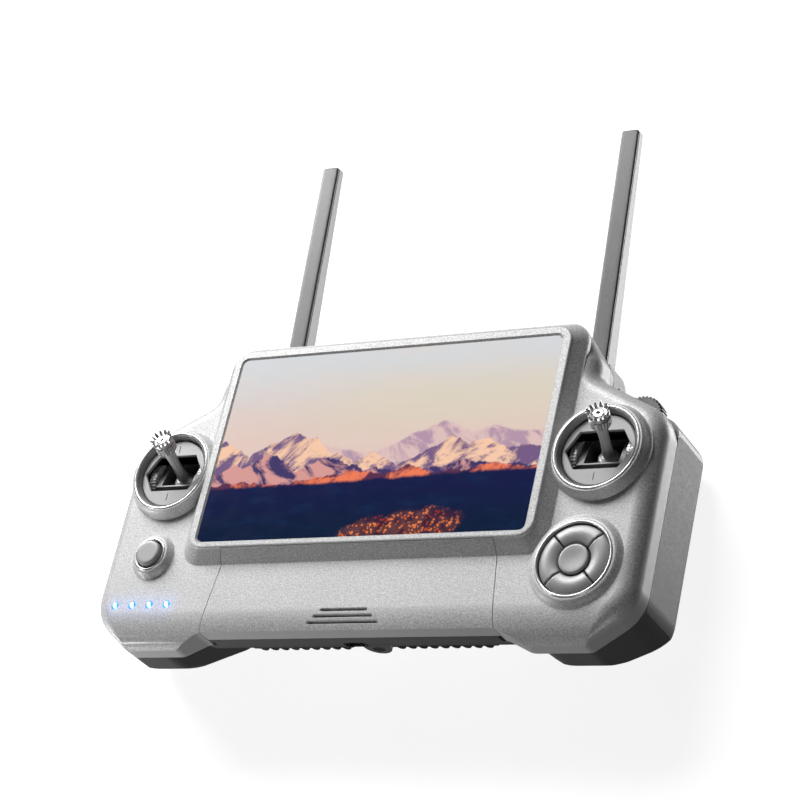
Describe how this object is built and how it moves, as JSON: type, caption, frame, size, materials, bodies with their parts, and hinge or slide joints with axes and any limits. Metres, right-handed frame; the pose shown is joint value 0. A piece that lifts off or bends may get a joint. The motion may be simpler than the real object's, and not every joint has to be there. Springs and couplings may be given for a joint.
{
  "type": "radio transmitter controller",
  "caption": "Handheld radio transmitter lying on its back: built-in wide display, two stick gimbals, round direction pad, power key, status lights, shoulder dials and two folding antennas.",
  "frame": {"origin": "on the plane that the two grips rest on, below the middle of the whole part with its antennas raised", "axes": "+X to the operator's right across the grips, +Y from the operator's edge towards the antennas, +Z out of the display"},
  "size_m": [0.254, 0.2474, 0.0681],
  "materials": {
    "front_plastic": "fine speckled satin grain",
    "rear_plastic": "smooth satin",
    "grip_rubber": "soft matt",
    "bare_aluminium": "anodised, satin",
    "frame_metal": "cast, plain",
    "screen_glass": "polished",
    "display_stack": "gloss",
    "circuit_board": "solder mask",
    "shield_metal": "tinned",
    "cable_black": "matt",
    "inner_plastic": "moulded",
    "cell_wrap": "shrink wrap",
    "screw_steel": "plated",
    "led_blue": "lit from behind",
    "bright_trim": "turned and polished",
    "key_mat": "silicone",
    "key_plastic": "satin",
    "gimbal_plate_grey": "fine brushed",
    "yoke_black": "satin",
    "drum_metal": "machined",
    "stick_metal": "anodised",
    "cap_metal": "knurled",
    "dial_black": "grooved",
    "antenna_plastic": "satin"
  },
  "bodies": {
    "housing": {"front_shell": "front_plastic", "lower_panel": "front_plastic", "rear_shell": "rear_plastic", "left_grip_panel": "grip_rubber", "right_grip_panel": "grip_rubber", "heat_sink": "bare_aluminium", "strap_lug": "rear_plastic", "mid_frame": "frame_metal", "display_glass": "screen_glass", "display_panel": "display_stack", "main_board": "circuit_board", "radio_module": "shield_metal", "coax_leads": "cable_black", "speaker": "inner_plastic", "usb_port": "shield_metal", "battery_cells": "cell_wrap", "battery_holders": "inner_plastic", "case_screws": "screw_steel", "led_lenses": "led_blue", "power_ring": "bright_trim", "power_board": "circuit_board", "pad_ring": "bright_trim", "pad_mat": "key_mat", "key_board": "circuit_board", "left_gimbal_ring": "bright_trim", "left_gimbal_plate": "gimbal_plate_grey", "left_gimbal_frame": "inner_plastic", "right_gimbal_ring": "bright_trim", "right_gimbal_plate": "gimbal_plate_grey", "right_gimbal_frame": "inner_plastic", "left_dial_encoder": "inner_plastic", "right_dial_encoder": "inner_plastic", "left_hinge_pin": "screw_steel", "right_hinge_pin": "screw_steel"},
    "left_yoke_assembly": {"left_yoke": "yoke_black", "left_drums": "drum_metal"},
    "left_stick_assembly": {"left_stick_ball": "drum_metal", "left_stick_shaft": "stick_metal", "left_stick_cap": "cap_metal"},
    "right_yoke_assembly": {"right_yoke": "yoke_black", "right_drums": "drum_metal"},
    "right_stick_assembly": {"right_stick_ball": "drum_metal", "right_stick_shaft": "stick_metal", "right_stick_cap": "cap_metal"},
    "left_dial_wheel": {"left_dial": "dial_black"},
    "right_dial_wheel": {"right_dial": "dial_black"},
    "left_antenna_assembly": {"left_antenna": "antenna_plastic", "left_antenna_knuckle": "antenna_plastic"},
    "right_antenna_assembly": {"right_antenna": "antenna_plastic", "right_antenna_knuckle": "antenna_plastic"},
    "power_key": {"power_button": "key_plastic"},
    "pad_key_up": {"key_up": "key_plastic"},
    "pad_key_down": {"key_down": "key_plastic"},
    "pad_key_left": {"key_left": "key_plastic"},
    "pad_key_right": {"key_right": "key_plastic"},
    "pad_key_center": {"key_center": "key_plastic"}
  },
  "joints": [
    {"name": "left_stick_up_down", "type": "hinge", "parent": "housing", "child": "left_yoke_assembly", "pos_m": [-0.1018, -0.0442, 0.038], "axis": [1, 0, 0], "range_deg": [-9, 41]},
    {"name": "left_stick_left_right", "type": "hinge", "parent": "left_yoke_assembly", "child": "left_stick_assembly", "pos_m": [-0.1018, -0.0442, 0.038], "axis": [0, 0.9613, -0.2756], "range_deg": [-29, 21], "stiffness_Nm_per_rad": 0.03, "springref_deg": -4},
    {"name": "right_stick_up_down", "type": "hinge", "parent": "housing", "child": "right_yoke_assembly", "pos_m": [0.1018, -0.0442, 0.038], "axis": [1, 0, 0], "range_deg": [-9, 41], "stiffness_Nm_per_rad": 0.03, "springref_deg": 16},
    {"name": "right_stick_left_right", "type": "hinge", "parent": "right_yoke_assembly", "child": "right_stick_assembly", "pos_m": [0.1018, -0.0442, 0.038], "axis": [0, 0.9613, -0.2756], "range_deg": [-36, 14], "stiffness_Nm_per_rad": 0.03, "springref_deg": -11},
    {"name": "left_dial_turn", "type": "hinge", "parent": "housing", "child": "left_dial_wheel", "pos_m": [-0.106, -0.0194, 0.027], "axis": [0, 0, 1], "range_deg": [-45, 45], "stiffness_Nm_per_rad": 0.02},
    {"name": "right_dial_turn", "type": "hinge", "parent": "housing", "child": "right_dial_wheel", "pos_m": [0.106, -0.0194, 0.027], "axis": [0, 0, 1], "range_deg": [-45, 45], "stiffness_Nm_per_rad": 0.02},
    {"name": "left_antenna_fold", "type": "hinge", "parent": "housing", "child": "left_antenna_assembly", "pos_m": [-0.0761, 0.0028, 0.0137], "axis": [1, 0, 0], "range_deg": [-97, 0]},
    {"name": "right_antenna_fold", "type": "hinge", "parent": "housing", "child": "right_antenna_assembly", "pos_m": [0.0761, 0.0028, 0.0137], "axis": [1, 0, 0], "range_deg": [-97, 0]},
    {"name": "power_press", "type": "slide", "parent": "housing", "child": "power_key", "axis": [0, 0, -1], "range_m": [0, 0.0008], "stiffness_N_per_m": 2500},
    {"name": "key_up_press", "type": "slide", "parent": "housing", "child": "pad_key_up", "axis": [0, 0, -1], "range_m": [0, 0.0008], "stiffness_N_per_m": 2000},
    {"name": "key_down_press", "type": "slide", "parent": "housing", "child": "pad_key_down", "axis": [0, 0, -1], "range_m": [0, 0.0008], "stiffness_N_per_m": 2000},
    {"name": "key_left_press", "type": "slide", "parent": "housing", "child": "pad_key_left", "axis": [0, 0, -1], "range_m": [0, 0.0008], "stiffness_N_per_m": 2000},
    {"name": "key_right_press", "type": "slide", "parent": "housing", "child": "pad_key_right", "axis": [0, 0, -1], "range_m": [0, 0.0008], "stiffness_N_per_m": 2000},
    {"name": "key_center_press", "type": "slide", "parent": "housing", "child": "pad_key_center", "axis": [0, 0, -1], "range_m": [0, 0.0008], "stiffness_N_per_m": 2000}
  ]
}
